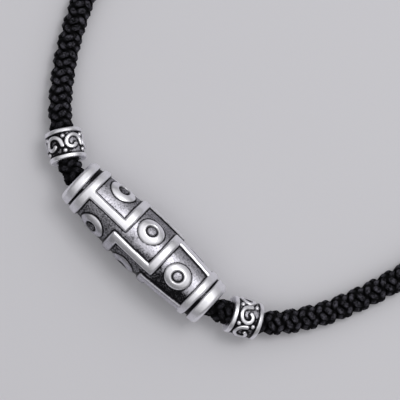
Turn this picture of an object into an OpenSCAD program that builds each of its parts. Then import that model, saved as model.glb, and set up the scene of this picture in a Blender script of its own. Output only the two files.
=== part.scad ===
// Necklace of a silver nine-eye dzi bead between two scrolled spacer beads,
// threaded on a round black braid that closes behind the neck in a barrel clasp.
// The necklace lies on a flat surface at z = 0, with the origin in the middle of
// its outline there. The axis of the dzi bead runs along X, at the -Y end of the
// loop, and the clasp lies across the +Y end.

/* [Dzi bead] */
// Length of the bead along its axis
dzi_len = 38; // [36:0.5:42]
// Diameter at the middle, over the raised lines
dzi_mid_d = 13.2; // [12.4:0.1:14.4]
// Fall of the surface from the middle to both ends
dzi_fall = 1.7; // [1.2:0.1:2.1]
// Width of the rim at each end
dzi_rim_w = 2.2; // [1.8:0.1:2.6]
// Width of the groove beside each rim
dzi_groove_w = 0.6; // [0.4:0.1:0.9]
// Width of the band beside each groove
dzi_band_w = 2; // [1.6:0.1:2.4]
// Rounding of the outer edge of each rim
dzi_edge_r = 0.7; // [0.3:0.1:1]
// Width of the three stepped lines
line_w = 2; // [1.6:0.1:2.3]
// Height of the lines, bands and rims above the ground between them
line_h = 0.6; // [0.4:0.05:0.8]
// Diameter of each eye
eye_d = 5.8; // [5:0.1:6.4]
// Fall of the domed eye from its middle to its edge, along the bead
eye_fall_along = 0.5; // [0.3:0.05:0.55]
// Fall of the domed eye from its middle to its edge, across the bead
eye_fall_across = 1.2; // [0.8:0.05:1.25]
// Height of the middle of an eye above the line tops
eye_rise = 0.05; // [0:0.05:0.2]
// Diameter of the hollow in the middle of each eye
pupil_d = 2.6; // [2.2:0.1:3]
// Diameter of the low disc that stands in the hollow
pupil_disc_d = 1.9; // [1.4:0.1:2]
// Depth of the hollow
pupil_depth = 0.55; // [0.3:0.05:0.7]
// Height of the disc above the floor of the hollow
pupil_disc_h = 0.3; // [0.1:0.05:0.3]

/* [Spacer beads] */
// Length of a spacer bead along its axis
spacer_len = 6.4; // [6:0.1:7.4]
// Diameter at the middle, over the scrolls
spacer_mid_d = 8.1; // [7.8:0.1:9]
// Fall of the surface from the middle to both ends
spacer_fall = 0.25; // [0.1:0.05:0.4]
// Width of the rim at each end
spacer_rim_w = 0.9; // [0.6:0.1:1.1]
// Rounding of the outer edge of each rim
spacer_edge_r = 0.3; // [0.1:0.1:0.5]
// Height of the scrolls, dots and rims above the ground between them
scroll_h = 0.45; // [0.3:0.05:0.6]
// Radius of the wide turn of a scroll, at the middle of its stroke
scroll_r = 1.55; // [1.3:0.05:1.6]
// Radius of the inner curl of a scroll, at the middle of its stroke
curl_r = 0.95; // [0.8:0.05:1]
// Width of the stroke of a scroll
scroll_w = 0.7; // [0.5:0.05:0.75]
// Length of the straight tail of a scroll
tail_len = 0.8; // [0.5:0.05:1]
// Diameter of the dots between the scrolls
dot_d = 0.9; // [0.6:0.05:1]
// Distance of each row of dots from the middle of the bead
dot_offset = 1.55; // [1.4:0.05:1.7]

/* [Braid] */
// Diameter of the braid over its strands
braid_d = 4.7; // [4.3:0.1:4.9]
// Clearance between the braid and each bore that it runs through
bore_gap = 0.15; // [0.1:0.05:0.25]
// Length of bare braid between the dzi bead and each spacer bead
bare_braid = 3.4; // [3:0.1:4.4]

/* [Clasp] */
// Length of the clasp
clasp_len = 15; // [13:0.5:18]
// Diameter of the clasp at its collars
clasp_d = 7.2; // [6.8:0.1:8]
// Length of the collar at each end
collar_len = 2.2; // [1.5:0.1:3]
// Depth of the clasp's waist below its collars
waist_depth = 0.3; // [0.2:0.05:0.5]
// Depth of the socket for each end of the braid
socket_depth = 5.5; // [4:0.5:6]
// Rounding of the outer edge of each collar
clasp_edge_r = 0.6; // [0.3:0.1:1]

/* [Lay] */
// Turn of the left spacer bead away from the dzi bead's axis
left_yaw = 34; // [30:1:38]
// Turn of the right spacer bead away from the dzi bead's axis
right_yaw = 29; // [26:1:34]
// Slope of the left spacer bead, down and away from the dzi bead
left_slope = 11; // [8:1:14]
// Slope of the right spacer bead, down and away from the dzi bead
right_slope = 15; // [12:1:18]
// Drop from the dzi bead's axis to the middle of each spacer bead
spacer_drop = 1.6; // [1.3:0.1:1.8]
// Distance of each spacer bead from the dzi bead's axis, seen from above
spacer_y = 3.2; // [2.8:0.1:3.6]
// Turn of the dzi bead about its own axis
dzi_turn = 0; // [-15:1:15]
// Turn of the left spacer bead about its own axis
left_turn = 30; // [0:1:60]
// Turn of the right spacer bead about its own axis
right_turn = -9; // [-30:1:30]

/* [Hidden] */
$fn = 96;

silver = [0.78, 0.78, 0.8];
black_braid = [0.07, 0.07, 0.08];

// Curves of large radius get enough facets to stay smooth
arc_fn = 720;
// Overlap that joins raised work to the body under it
weld = 0.3;
// Number of scrolls round a spacer bead
scroll_count = 6;
// Angle that each scroll keeps clear of the edge of its sector
sector_gap_a = 1;

bore_d = braid_d + 2 * bore_gap;

// Radius of the arc that falls by the second value at half its chord, the first
function fall_radius(half, fall) = (half * half + fall * fall) / (2 * fall);

// Radius of a bead at a place along it, where its outline is one arc
function barrel_r(x, mid_d, arc_r) = mid_d / 2 - arc_r + sqrt(arc_r * arc_r - x * x);

dzi_arc = fall_radius(dzi_len / 2, dzi_fall);
dzi_end_d = dzi_mid_d - 2 * dzi_fall;
spacer_arc = fall_radius(spacer_len / 2, spacer_fall);
spacer_end_d = spacer_mid_d - 2 * spacer_fall;

// Places along the dzi bead: three equal panels between the two bands, with
// the turns of the stepped lines between the panels
panels = 3;
rim_x = dzi_len / 2 - dzi_rim_w;
band_x = rim_x - dzi_groove_w;
panel_end_x = band_x - dzi_band_w;
panel_len = (2 * panel_end_x - (panels - 1) * line_w) / panels;
panel_pitch = panel_len + line_w;
turn_x = panel_pitch / 2;
lines = 3;
line_step = 360 / lines;

// The dzi bead rests on the turns of its lines
dzi_z = barrel_r(turn_x - line_w / 2, dzi_mid_d, dzi_arc);

// The braid carries each spacer bead a little clear of the surface
spacer_z = dzi_z - spacer_drop;
function spacer_x(yaw, slope) =
    dzi_len / 2 + bare_braid + spacer_len / 2 * cos(slope) * cos(yaw);
left_centre = [-spacer_x(left_yaw, left_slope), spacer_y, spacer_z];
right_centre = [spacer_x(right_yaw, right_slope), spacer_y, spacer_z];

// Direction of the braid through each spacer bead, from left to right
function string_dir(yaw, rise) = [cos(yaw) * cos(rise), sin(yaw) * cos(rise), sin(rise)];
left_dir = string_dir(-left_yaw, left_slope);
right_dir = string_dir(right_yaw, -right_slope);

// Route of the braid on the surface, with y counted from the dzi bead's axis and
// the third value the height of its middle above that of a braid that lies flat.
// Chosen by hand from the clasp's left end round to the left spacer bead, and
// from the right spacer bead back to the clasp.
left_lay = [
    [-14, 187, 1.1], [-20, 185.7, 0.6], [-27, 182.6, 0.15], [-33, 178.8, 0],
    [-39, 173.2, 0], [-44, 166.6, 0], [-48, 159, 0], [-51.2, 150, 0],
    [-53.6, 140, 0], [-55.2, 129, 0], [-56, 117.5, 0], [-56, 106, 0],
    [-55.3, 94.5, 0], [-54.2, 84, 0], [-52.9, 74, 0], [-51.4, 64, 0],
    [-49.8, 54.5, 0], [-48.1, 45.5, 0], [-46.4, 37.8, 0], [-44.8, 32, 0],
    [-43.1, 27.3, 0], [-41.3, 23.3, 0], [-39.4, 19.8, 0.05], [-37.4, 16.5, 0.2],
    [-35.2, 13.3, 0.45], [-32.9, 10.3, 0.8], [-30.6, 7.7, 1.25]
];
right_lay = [
    [30.5, 7, 1.15], [32.8, 9.2, 0.65], [35, 12.3, 0.3], [37, 15.7, 0.1],
    [38.9, 19.6, 0], [40.5, 23.8, 0], [41.9, 28.2, 0], [43.2, 33, 0],
    [44.9, 40, 0], [46.8, 48, 0], [48.7, 56.5, 0], [50.5, 65.5, 0],
    [52.2, 75, 0], [53.8, 85, 0], [55.2, 95.5, 0], [56, 106.5, 0],
    [56, 117.5, 0], [55.2, 129, 0], [53.6, 140, 0], [51.2, 150, 0],
    [48, 159, 0], [44, 166.6, 0], [39, 173.2, 0], [33, 178.8, 0],
    [27, 182.6, 0.15], [20, 185.7, 0.6], [14, 187, 1.1]
];
// The clasp lies across the start of the route
clasp_y = left_lay[0][1];
// Middle of the whole outline, from the dzi bead's foremost eye to the clasp
middle_y = (clasp_y + clasp_d / 2 - dzi_mid_d / 2 - eye_rise) / 2;
braid_sides = 12;
// The braid enters and leaves each bead straight along its bore
lead_in = 0.3;
// Floor of each clasp socket, left a little clear of the braid's end
socket_gap = 0.1;

clasp_z = clasp_d / 2;
socket_x = clasp_len / 2 - socket_depth;

function lifted(lay) = [for (p = lay) [p[0], p[1], braid_d / 2 + p[2]]];
function along(centre, dir, len) = centre + dir * len;
function spacer_run(centre, dir) =
    [for (k = [-1, 0, 1]) along(centre, dir, k * (spacer_len / 2 + lead_in))];
dzi_run = [for (k = [-1, -0.5, 0, 0.5, 1]) [k * (dzi_len / 2 + lead_in), 0, dzi_z]];
left_end = [for (x = [-socket_x - socket_gap, -clasp_len / 2 - lead_in]) [x, clasp_y, clasp_z]];
right_end = [for (x = [clasp_len / 2 + lead_in, socket_x + socket_gap]) [x, clasp_y, clasp_z]];
route = concat(
    left_end, lifted(left_lay), spacer_run(left_centre, left_dir), dzi_run,
    spacer_run(right_centre, right_dir), lifted(right_lay), right_end
);

// Solid of revolution about X under an arc, sunk by inset, between two places
module barrel(mid_d, arc_r, from_x, to_x, inset = 0) {
    rotate([0, 90, 0])
        rotate_extrude()
            intersection() {
                translate([mid_d / 2 - arc_r, 0]) circle(r = arc_r - inset, $fn = arc_fn);
                translate([0, from_x]) square([mid_d, to_x - from_x]);
            }
}

// Cylinder along X with rounded end edges, which trims the ends of a bead
module rounded_ends(len, end_d, edge_r) {
    rotate([0, 90, 0])
        rotate_extrude() {
            translate([0, -len / 2]) square([end_d / 2 - edge_r, len]);
            translate([0, edge_r - len / 2]) square([end_d, len - 2 * edge_r]);
            for (side = [-1, 1])
                translate([end_d / 2 - edge_r, side * (len / 2 - edge_r)]) circle(r = edge_r);
        }
}

module raised_rims(rim_w, len, mid_d, arc_r) {
    for (side = [0, 1]) mirror([side, 0, 0]) barrel(mid_d, arc_r, len / 2 - rim_w, len / 2);
}

// Moves a piece from the dzi bead's own place to the middle of the outline
module placed() {
    translate([0, -middle_y, 0]) children();
}

// Cylinder along X between two places
module rod(d, from_x, to_x) {
    translate([from_x, 0, 0]) rotate([0, 90, 0]) cylinder(d = d, h = to_x - from_x);
}

// Straight part of a raised line, which points up from the axis
module line_run(from_x, to_x) {
    translate([from_x, -line_w / 2, 0]) cube([to_x - from_x, line_w, dzi_mid_d]);
}

// Quarter turn of a raised line round the bead
module line_turn(x) {
    translate([x - line_w / 2, 0, 0]) cube([line_w, dzi_mid_d, dzi_mid_d]);
}

// One stepped line: it runs in from the left band, steps round a quarter at
// each turn, and runs out to the right band
module stepped_line() {
    line_run(-panel_end_x - weld, -turn_x + line_w / 2);
    line_turn(-turn_x);
    rotate([-90, 0, 0]) {
        line_run(-turn_x - line_w / 2, turn_x + line_w / 2);
        line_turn(turn_x);
    }
    rotate([-180, 0, 0]) line_run(turn_x - line_w / 2, panel_end_x + weld);
}

// Doubly curved dome: the outside of a ring that lies along the bead
module eye_dome() {
    along_r = fall_radius(eye_d / 2, eye_fall_along);
    across_r = fall_radius(eye_d / 2, eye_fall_across);
    translate([0, 0, eye_rise - along_r])
        rotate([90, 0, 0])
            rotate_extrude($fn = arc_fn) translate([along_r - across_r, 0]) circle(r = across_r);
}

// Domed eye with a hollow and a low disc, its foot sunk in the bead
module eye() {
    foot = eye_fall_across + line_h;
    hollow_z = eye_rise - pupil_depth;
    difference() {
        intersection() {
            translate([0, 0, -foot]) cylinder(d = eye_d, h = foot + line_h);
            eye_dome();
        }
        translate([0, 0, hollow_z]) cylinder(d = pupil_d, h = pupil_depth + line_h);
    }
    translate([0, 0, hollow_z - weld]) cylinder(d = pupil_disc_d, h = pupil_disc_h + weld);
}

// An eye in the middle of a panel, square to the barrel's surface there
module eye_at(x, angle) {
    rotate([angle, 0, 0])
        translate([0, 0, dzi_mid_d / 2 - dzi_arc])
            rotate([0, asin(x / dzi_arc), 0])
                translate([0, 0, dzi_arc]) eye();
}

// Angles of the eyes in each panel, halfway between its lines
eye_first_angle = [60, -30, 0];

module dzi_relief() {
    raised_rims(dzi_rim_w, dzi_len, dzi_mid_d, dzi_arc);
    for (side = [0, 1]) mirror([side, 0, 0]) barrel(dzi_mid_d, dzi_arc, panel_end_x, band_x);
    intersection() {
        barrel(dzi_mid_d, dzi_arc, -panel_end_x - weld, panel_end_x + weld);
        for (k = [0:lines - 1]) rotate([k * line_step, 0, 0]) stepped_line();
    }
}

module dzi_bead() {
    color(silver)
        placed() translate([0, 0, dzi_z])
            rotate([dzi_turn, 0, 0])
                difference() {
                    intersection() {
                        union() {
                            barrel(dzi_mid_d, dzi_arc, -dzi_len / 2, dzi_len / 2, line_h);
                            dzi_relief();
                            for (row = [0:panels - 1], k = [0:lines - 1])
                                eye_at((row - 1) * panel_pitch, eye_first_angle[row] + k * line_step);
                        }
                        rounded_ends(dzi_len, dzi_end_d, dzi_edge_r);
                    }
                    rod(bore_d, -dzi_len, dzi_len);
                }
}

// Sector of a ring, less than half a turn wide
module stroke_arc(r, from_a, to_a) {
    reach = 4 * r;
    intersection() {
        difference() {
            circle(r = r + scroll_w / 2);
            circle(r = r - scroll_w / 2);
        }
        polygon([
            [0, 0], reach * [cos(from_a), sin(from_a)],
            reach * [cos((from_a + to_a) / 2), sin((from_a + to_a) / 2)],
            reach * [cos(to_a), sin(to_a)]
        ]);
    }
}

// Outline of a scroll: straight tail, wide turn and inner curl, with angles
// counted from the direction of the braid
module scroll_outline() {
    tail_a = 102;
    join_a = 271;
    tip_a = 421;
    curl_centre = (scroll_r - curl_r) * [cos(join_a), sin(join_a)];
    tail_start = scroll_r * [cos(tail_a), sin(tail_a)];
    translate(tail_start) rotate(tail_a - 90) {
        translate([0, -scroll_w / 2]) square([tail_len, scroll_w]);
        translate([tail_len, 0]) circle(d = scroll_w);
    }
    stroke_arc(scroll_r, tail_a, join_a);
    translate(curl_centre) {
        stroke_arc(curl_r, join_a, tip_a);
        translate(curl_r * [cos(tip_a), sin(tip_a)]) circle(d = scroll_w);
    }
}

// One scroll under the barrel's surface, kept within its own sector of the bead
// and sunk under the ground at the sector's edges
module raised_scroll() {
    half_a = 180 / scroll_count - sector_gap_a;
    ground_r = barrel_r(scroll_r + scroll_w / 2, spacer_mid_d, spacer_arc) - scroll_h;
    intersection() {
        barrel(spacer_mid_d, spacer_arc, -spacer_len / 2, spacer_len / 2);
        rotate([90, 0, 90])
            linear_extrude(height = spacer_len, center = true)
                polygon([
                    [0, 0], spacer_mid_d * [sin(half_a), cos(half_a)],
                    spacer_mid_d * [-sin(half_a), cos(half_a)]
                ]);
        translate([0, 0, ground_r * cos(half_a) - weld])
            linear_extrude(height = spacer_mid_d / 2) scroll_outline();
    }
}

module spacer_relief() {
    scroll_step = 360 / scroll_count;
    dot_r = barrel_r(dot_offset, spacer_mid_d, spacer_arc) - dot_d / 2;
    raised_rims(spacer_rim_w, spacer_len, spacer_mid_d, spacer_arc);
    for (k = [0:scroll_count - 1]) rotate([k * scroll_step, 0, 0]) {
        raised_scroll();
        for (side = [-1, 1]) rotate([scroll_step / 2, 0, 0])
            translate([side * dot_offset, 0, dot_r]) sphere(d = dot_d, $fn = 48);
    }
}

module spacer_bead() {
    difference() {
        intersection() {
            union() {
                barrel(spacer_mid_d, spacer_arc, -spacer_len / 2, spacer_len / 2, scroll_h);
                spacer_relief();
            }
            rounded_ends(spacer_len, spacer_end_d, spacer_edge_r);
        }
        rod(bore_d, -spacer_len, spacer_len);
    }
}

module spacer_bead_left() {
    color(silver)
        placed() translate(left_centre)
            rotate([0, 0, -left_yaw]) rotate([0, -left_slope, 0])
                rotate([left_turn, 0, 0]) spacer_bead();
}

module spacer_bead_right() {
    color(silver)
        placed() translate(right_centre)
            rotate([0, 0, right_yaw]) rotate([0, right_slope, 0])
                rotate([right_turn, 0, 0]) spacer_bead();
}

// Tube swept along the points of a route, with one ring at each point
function unit(v) = v / norm(v);
function ring_dir(pts, i) = unit(pts[min(i + 1, len(pts) - 1)] - pts[max(i - 1, 0)]);
function ring(pts, i, r, sides) =
    let (t = ring_dir(pts, i), s = unit(cross(t, [0, 0, 1])), u = cross(s, t))
    [for (k = [0:sides - 1]) pts[i] + r * (cos(360 * k / sides) * s + sin(360 * k / sides) * u)];

module swept_tube(pts, r, sides) {
    count = len(pts);
    points = [for (i = [0:count - 1]) each ring(pts, i, r, sides)];
    wall = [for (i = [0:count - 2], k = [0:sides - 1])
        let (a = i * sides + k, b = i * sides + (k + 1) % sides)
        each [[a, b + sides, b], [a, a + sides, b + sides]]];
    first_cap = [for (k = [1:sides - 2]) [0, k, k + 1]];
    last = (count - 1) * sides;
    last_cap = [for (k = [1:sides - 2]) [last, last + k + 1, last + k]];
    polyhedron(points, concat(wall, first_cap, last_cap));
}

module braid() {
    color(black_braid) placed() swept_tube(route, braid_d / 2, braid_sides);
}

// Plain barrel with a socket in each end
module clasp() {
    waist_d = clasp_d - 2 * waist_depth;
    color(silver)
        placed() translate([0, clasp_y, clasp_z])
            difference() {
                intersection() {
                    rounded_ends(clasp_len, clasp_d, clasp_edge_r);
                    union() {
                        rod(waist_d, -clasp_len / 2, clasp_len / 2);
                        for (side = [0, 1]) mirror([side, 0, 0])
                            rod(clasp_d, clasp_len / 2 - collar_len, clasp_len / 2);
                    }
                }
                for (side = [0, 1]) mirror([side, 0, 0]) rod(bore_d, socket_x, clasp_len);
            }
}

dzi_bead();
spacer_bead_left();
spacer_bead_right();
braid();
clasp();
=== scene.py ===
"""Dresses the dzi bead necklace: silver beads, black braid, clasp and stage."""

import math

import bmesh
import bpy
import numpy as np
from bpy.props import (
    FloatProperty,
    FloatVectorProperty,
    IntProperty,
    PointerProperty,
)
from mathutils import Matrix, Vector


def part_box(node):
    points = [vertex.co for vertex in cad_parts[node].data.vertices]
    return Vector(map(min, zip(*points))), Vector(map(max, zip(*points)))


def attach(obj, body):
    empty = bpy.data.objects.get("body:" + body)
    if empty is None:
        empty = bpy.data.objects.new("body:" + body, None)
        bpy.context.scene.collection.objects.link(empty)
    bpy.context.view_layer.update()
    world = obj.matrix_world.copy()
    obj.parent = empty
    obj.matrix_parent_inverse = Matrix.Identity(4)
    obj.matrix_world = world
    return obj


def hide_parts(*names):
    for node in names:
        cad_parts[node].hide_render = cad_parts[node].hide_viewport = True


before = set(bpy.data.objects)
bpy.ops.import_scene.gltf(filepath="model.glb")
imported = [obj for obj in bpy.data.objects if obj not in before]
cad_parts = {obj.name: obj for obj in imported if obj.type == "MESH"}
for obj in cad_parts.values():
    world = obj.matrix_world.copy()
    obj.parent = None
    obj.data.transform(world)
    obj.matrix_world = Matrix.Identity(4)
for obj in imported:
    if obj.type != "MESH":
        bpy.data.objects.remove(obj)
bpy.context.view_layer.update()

bl_info = {
    "name": "Dzi Bead Necklace",
    "version": (1, 0, 0),
    "blender": (4, 5, 0),
    "location": "3D View > Sidebar > Necklace",
    "description": "Dresses the necklace's beads, braid and clasp, and sets its stage",
    "category": "Object",
}

MM = 0.001
TURN = 2 * math.pi
QUARTER = TURN / 4

# The dzi bead's axis lies this far from the middle of the loop's outline, in millimetres. The
# bead's place is the point of the floor under its middle, in metres.
AXIS_Y = -91.975
DZI_PLACE = np.array([0, AXIS_Y * MM, 0])

# Clearance between the braid and each bore that it runs through, in millimetres.
BORE_GAP = 0.15
# Length that the braid runs on straight beyond each bead and the clasp, in millimetres.
LEAD_IN = 0.3
# Depth of each socket of the clasp, and how far the braid's end stays from its floor.
SOCKET_DEPTH = 5.5
SOCKET_GAP = 0.1

# Points of the braid's middle line: x and y from the dzi bead's place, and lift above a braid
# that lies flat, in millimetres. The back starts at the clasp's left end and has a mirror image.
BACK_LAY = [
    (-14, 187, 1.1), (-20, 185.7, 0.6), (-27, 182.6, 0.15), (-33, 178.8, 0),
    (-39, 173.2, 0), (-44, 166.6, 0), (-48, 159, 0), (-51.2, 150, 0),
    (-53.6, 140, 0), (-55.2, 129, 0), (-56, 117.5, 0),
]
# On the left the line runs on to the spacer bead, and on the right from the bead to the back.
LEFT_LAY = [
    (-56, 106, 0), (-55.3, 94.5, 0), (-54.2, 84, 0), (-52.9, 74, 0), (-51.4, 64, 0),
    (-49.9, 54.5, 0), (-48.3, 45.5, 0), (-46.7, 37.8, 0), (-45.2, 32, 0),
    (-43.5, 27.3, 0), (-41.7, 23.3, 0), (-39.9, 19.8, 0.05), (-38, 16.5, 0.2),
    (-35.8, 13.3, 0.45), (-33.5, 10.3, 0.8), (-31.1, 7.6, 1.25),
]
RIGHT_LAY = [
    (31, 6.5, 1.15), (33.2, 9, 0.65), (35.4, 12.1, 0.3), (37.5, 15.6, 0.1),
    (39.3, 19.5, 0), (41, 23.7, 0), (42.5, 28.1, 0), (43.9, 32.9, 0),
    (45.5, 40, 0), (47.3, 48, 0), (49.1, 56.5, 0), (50.7, 65.5, 0),
    (52.2, 75, 0), (53.8, 85, 0), (55.2, 95.5, 0), (56, 106.5, 0),
]

# Panel of each row of eyes, counted from the middle one, and the angle of each eye, in degrees.
EYE_ROWS = (
    (-1, (59, 180, 300)),
    (0, (-28, 81, 212)),
    (1, (2, 122, 242)),
)
# Stepped lines round the dzi bead, and scrolls round a spacer bead.
LINES = 3
SCROLLS = 6

# Slow unevenness of a surface: depth and wavelength in millimetres, and random seed.
DZI_EDGES = ((0.07, 9, 3), (0.03, 2.5, 8))
DZI_SKIN = ((0.03, 4, 5),)
SPACER_EDGES = ((0.03, 4, 11),)

# A distance in millimetres that is beyond everything on a bead.
FAR = 9.0

# Rows of points along a bead between its rounded edges, and points in each row.
DZI_GRID = (288, 300)
SPACER_GRID = (120, 360)
# How much further round a spacer bead its ground gets painted shade, and less far its scrolls do.
SPACER_SHADE = 0.4

# Steps of the braid's line between two crossings of its strands, and points round a yarn.
STEPS_A_CROSSING = 11
YARN_SIDES = 7

# The shadow's light, in metres: its place and its aim from the dzi bead's place, and its width.
KEY_AT = (0.05, 0.24, 0.5)
KEY_AIM = (0, 0, 0.006)
KEY_W = 0.2
# Middle of the view from the dzi bead's place, and the beads' height, in millimetres.
VIEW_X, VIEW_Y, VIEW_Z = 2.35, 14.25, 10
# Width of the camera's sensor in millimetres, and half the width of the floor in metres.
SENSOR_W = 36
FLOOR_HALF = 3.0


# Sizes and colours that can be set


def size(name, description, millimetres):
    """A length property with its default in millimetres."""
    return FloatProperty(
        name=name, description=description, default=millimetres * MM, min=0, unit="LENGTH", precision=5
    )


def angle(name, description, degrees):
    """An angle property with its default in degrees."""
    return FloatProperty(
        name=name, description=description, default=math.radians(degrees), subtype="ANGLE"
    )


def number(name, description, default, low=0, high=10):
    """A plain number property."""
    return FloatProperty(name=name, description=description, default=default, min=low, max=high)


def colour(name, description, rgb):
    """A colour property."""
    return FloatVectorProperty(
        name=name, description=description, default=rgb, subtype="COLOR", min=0, max=1
    )


def group(kind, name):
    """A group of settings, which its docstring describes."""
    return PointerProperty(type=kind, name=name, description=kind.__doc__.rstrip("."))


class DziBeadSettings(bpy.types.PropertyGroup):
    """Sizes of the dzi bead."""

    length: size("Length", "Length along its axis", 38)
    mid_d: size("Middle diameter", "Diameter at the middle, over the raised lines", 13.2)
    fall: size("Fall", "Fall of the surface towards both ends", 1.7)
    rim_w: size("Rim width", "Width of the rim at each end", 2.2)
    groove_w: size("Groove width", "Width of the groove beside each rim", 0.6)
    band_w: size("Band width", "Width of the band beside each groove", 2)
    edge_r: size("Edge rounding", "Rounding of the outer edge of each rim", 0.8)
    line_w: size("Line width", "Width of the stepped lines", 2)
    line_h: size("Line height", "Height of the raised work above the ground", 0.6)
    drift: size("Drift", "How far the pattern's middle strays to the left", 0.4)
    spread: angle("Spread", "Spread of the pattern round the bead's face", 0)
    eye_d: size("Eye diameter", "Diameter of each eye", 5.8)
    eye_fall_along: size("Eye fall along", "Fall of an eye to its edge, along the bead", 0.46)
    eye_fall_across: size("Eye fall across", "Fall of an eye to its edge, across the bead", 0.5)
    eye_rise: size("Eye rise", "Height of an eye's middle above the lines' tops", 0.04)
    pupil_d: size("Pupil diameter", "Diameter of the hollow in each eye", 2.6)
    disc_d: size("Disc diameter", "Diameter of the low disc in the hollow", 1.9)
    pupil_depth: size("Pupil depth", "Depth of the hollow", 0.55)
    disc_h: size("Disc height", "Height of the disc in the hollow", 0.3)


class SpacerBeadSettings(bpy.types.PropertyGroup):
    """Sizes and lay of the spacer beads."""

    length: size("Length", "Length along its axis", 6.4)
    mid_d: size("Middle diameter", "Diameter at the middle, over the scrolls", 8.1)
    fall: size("Fall", "Fall of the surface towards both ends", 0.25)
    rim_w: size("Rim width", "Width of the rim at each end", 0.9)
    edge_r: size("Edge rounding", "Rounding of the outer edge of each rim", 0.3)
    scroll_h: size("Scroll height", "Height of the scrolls above the ground", 0.45)
    scroll_r: size("Scroll radius", "Radius of a scroll's wide turn", 1.55)
    curl_r: size("Curl radius", "Radius of a scroll's inner curl", 0.95)
    scroll_w: size("Stroke width", "Width of a scroll's stroke", 0.76)
    tail_len: size("Tail length", "Length of a scroll's straight tail", 0.8)
    dot_d: size("Dot diameter", "Diameter of the dots between the scrolls", 0.9)
    dot_offset: size("Dot offset", "Distance of the dots from the bead's middle", 1.55)
    spread: angle("Spread", "Spread of the pattern round the bead's face", 7)
    left_yaw: angle("Left yaw", "Turn of the left bead from the dzi bead's axis", 34)
    right_yaw: angle("Right yaw", "Turn of the right bead from the dzi bead's axis", 26)
    left_slope: angle("Left slope", "Slope of the left bead, down and away", 11)
    right_slope: angle("Right slope", "Slope of the right bead, down and away", 15)
    left_turn: angle("Left turn", "Turn of the left bead about its own axis", 30)
    right_turn: angle("Right turn", "Turn of the right bead about its own axis", -14)
    drop: size("Drop", "Drop of each spacer bead from the dzi bead's axis", 1.6)
    left_beside: size("Left beside", "Place of the left bead beside the dzi bead's axis", 3.2)
    right_beside: size("Right beside", "Place of the right bead beside the dzi bead's axis", 2.8)


class BraidSettings(bpy.types.PropertyGroup):
    """Sizes and colour of the braid."""

    diameter: size("Diameter", "Diameter of the braid over its strands", 4.7)
    bare: size("Bare braid", "Bare braid between the dzi bead and each spacer bead", 3.7)
    lay: size("Lay length", "Length of braid in which a strand goes round once", 14.79)
    start: size("Start", "Place in the braid's pattern at the middle of the dzi bead", 0.42)
    yarn_t: size("Yarn thickness", "Thickness of a yarn, outwards", 1.1)
    yarn_w: size("Yarn width", "Width of a yarn, along the braid's surface", 1.34)
    yarn_lead: size("Yarn lead", "How far one yarn of a strand runs ahead of the other", 1.3)
    yarn_spread: angle("Yarn spread", "Angle round the braid between both yarns of a strand", 22.5)
    swing: size("Swing", "How far a yarn swings in and out as it goes over and under", 2.0)
    proud: size("Proud", "How far the yarns' tops stand out of the braid's diameter", 0.21)
    swell: size("Swell", "How far the braid swells and shrinks along its pattern", 0.26)
    calm: number("Calm", "Share of the swell that is missing inside, left of the dzi bead", 0.9, high=1)
    crest: number("Crest", "Roundness of a yarn's top where it goes over another", 0.95, 0.3, 1.5)
    steep: number("Steepness", "How much steeper a strand runs where it goes over another", 1, high=3)
    twist: angle("Twist", "Turn of the whole braid from one end to the other", 40)
    pairs: IntProperty(
        name="Strands each way", description="Strands that turn each way", default=4, min=2, max=8
    )
    tint: colour("Colour", "Colour of the strands", (0.078, 0.0751, 0.0927))


class SilverSettings(bpy.types.PropertyGroup):
    """Colours of the silver."""

    bright: colour("Bright silver", "Silver where it is rubbed bright", (0.9, 0.892, 0.938))
    ground: colour("Ground silver", "Dulled silver on the ground", (0.56, 0.549, 0.607))
    dark: colour("Darkened silver", "Silver darkened in the recesses", (0.0055, 0.0052, 0.0072))


class StageSettings(bpy.types.PropertyGroup):
    """The floor, lights and camera."""

    floor: colour("Floor", "Colour of the floor", (0.626, 0.619, 0.653))
    light_tint: colour("Light", "Colour of the light all round", (1, 1, 1))
    lobe_lean: angle("Lobe lean", "Lean of the brightest light from straight overhead", 9)
    lobe_in: angle("Lobe core", "Angle at which the brightest light starts to fall", 8)
    lobe_out: angle("Lobe edge", "Angle at which the brightest light ends", 78)
    lobe_level: number("Lobe level", "Strength of the brightest light", 0.92)
    dim_level: number("Dim level", "Strength of the light away from it", 0.2)
    back_level: number("Back level", "Strength added low at the back", 0.12)
    key_power: number("Key power","Power of the light that casts the shadow", 0.75)
    view_turn: angle("View turn", "Turn of the camera about the vertical", 43.5)
    frame_w: size("Frame width", "Width of the view at the beads' height", 81.6)
    distance: size("Distance", "Height of the camera above the floor", 550)


# Distances and profiles


def mm(*lengths):
    """Lengths in millimetres."""
    return [length / MM for length in lengths]


def smooth(low, high, value):
    """Smooth step from 0 at low to 1 at high."""
    t = np.clip((value - low) / (high - low), 0, 1)
    return t * t * (3 - 2 * t)


def soft_min(a, b, width):
    """The lower of two distances, with the corner between them filled to a width."""
    blend = np.clip(0.5 + 0.5 * (b - a) / width, 0, 1)
    return b + (a - b) * blend - width * blend * (1 - blend)


def box_distance(x, v, x0, x1, v0, v1, corner):
    """Distance to a rectangle with rounded corners, negative inside."""
    qx = np.abs(x - (x0 + x1) / 2) - (x1 - x0) / 2 + corner
    qv = np.abs(v - (v0 + v1) / 2) - (v1 - v0) / 2 + corner
    return np.hypot(np.maximum(qx, 0), np.maximum(qv, 0)) + np.minimum(np.maximum(qx, qv), 0) - corner


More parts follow.
